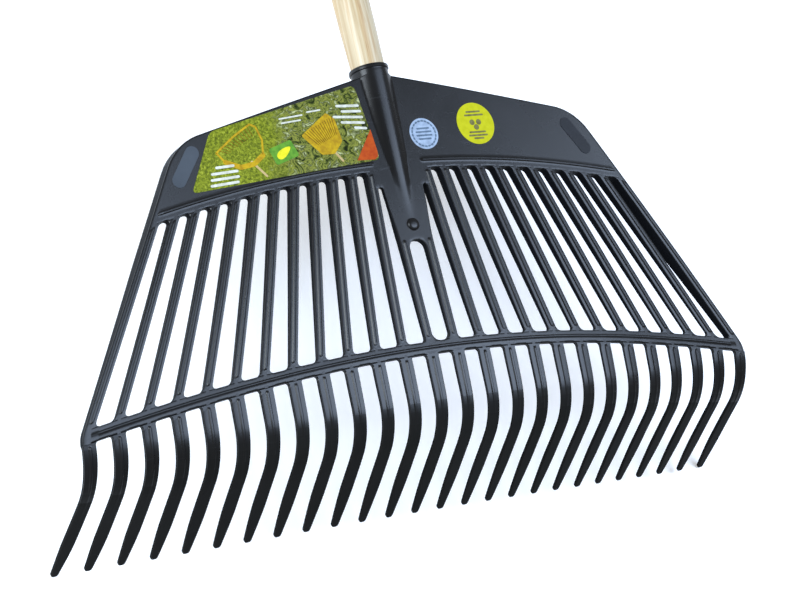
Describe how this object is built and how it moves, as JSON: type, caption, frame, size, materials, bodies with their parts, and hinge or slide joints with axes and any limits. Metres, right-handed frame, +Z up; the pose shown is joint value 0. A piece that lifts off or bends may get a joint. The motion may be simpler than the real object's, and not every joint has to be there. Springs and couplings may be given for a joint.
{
  "type": "leaf rake",
  "caption": "Wide leaf rake: fan-shaped plastic head with curved sprung tines, a ribbed plate, a socket and a long round wooden handle.",
  "frame": {"origin": "middle of the bounding box in plan, on the ground that the rake lies on", "axes": "+Y along the ground from the tines towards the end of the handle, +X across the head to the right when looking along +Y from above, +Z up; the handle falls slightly towards its end, which touches the ground as the outermost tine tips do"},
  "size_m": [0.5822, 1.7412, 0.1199],
  "materials": {
    "black_plastic": "satin, glossier on the socket",
    "wood": "sanded, clear varnish",
    "screw_steel": "zinc plated",
    "picture_film": "printed film",
    "silver_film": "silvered film",
    "yellow_film": "printed film"
  },
  "bodies": {
    "root": {"bar_02": "black_plastic", "bar_03": "black_plastic", "bar_04": "black_plastic", "bar_05": "black_plastic", "bar_06": "black_plastic", "bar_07": "black_plastic", "bar_08": "black_plastic", "bar_09": "black_plastic", "bar_10": "black_plastic", "bar_11": "black_plastic", "bar_12": "black_plastic", "bar_15": "black_plastic", "bar_16": "black_plastic", "bar_17": "black_plastic", "bar_18": "black_plastic", "bar_19": "black_plastic", "bar_20": "black_plastic", "bar_21": "black_plastic", "bar_22": "black_plastic", "bar_23": "black_plastic", "bar_24": "black_plastic", "bar_25": "black_plastic", "crossbar": "black_plastic", "handle": "wood", "handle_screw": "screw_steel", "picture_label": "picture_film", "rail_left": "black_plastic", "rail_right": "black_plastic", "silver_label": "silver_film", "socket": "black_plastic", "tine_01": "black_plastic", "tine_02": "black_plastic", "tine_03": "black_plastic", "tine_04": "black_plastic", "tine_05": "black_plastic", "tine_06": "black_plastic", "tine_07": "black_plastic", "tine_08": "black_plastic", "tine_09": "black_plastic", "tine_10": "black_plastic", "tine_11": "black_plastic", "tine_12": "black_plastic", "tine_13": "black_plastic", "tine_14": "black_plastic", "tine_15": "black_plastic", "tine_16": "black_plastic", "tine_17": "black_plastic", "tine_18": "black_plastic", "tine_19": "black_plastic", "tine_20": "black_plastic", "tine_21": "black_plastic", "tine_22": "black_plastic", "tine_23": "black_plastic", "tine_24": "black_plastic", "tine_25": "black_plastic", "tine_26": "black_plastic", "tongue": "black_plastic", "wing_left": "black_plastic", "wing_right": "black_plastic", "yellow_label": "yellow_film"}
  },
  "joints": []
}
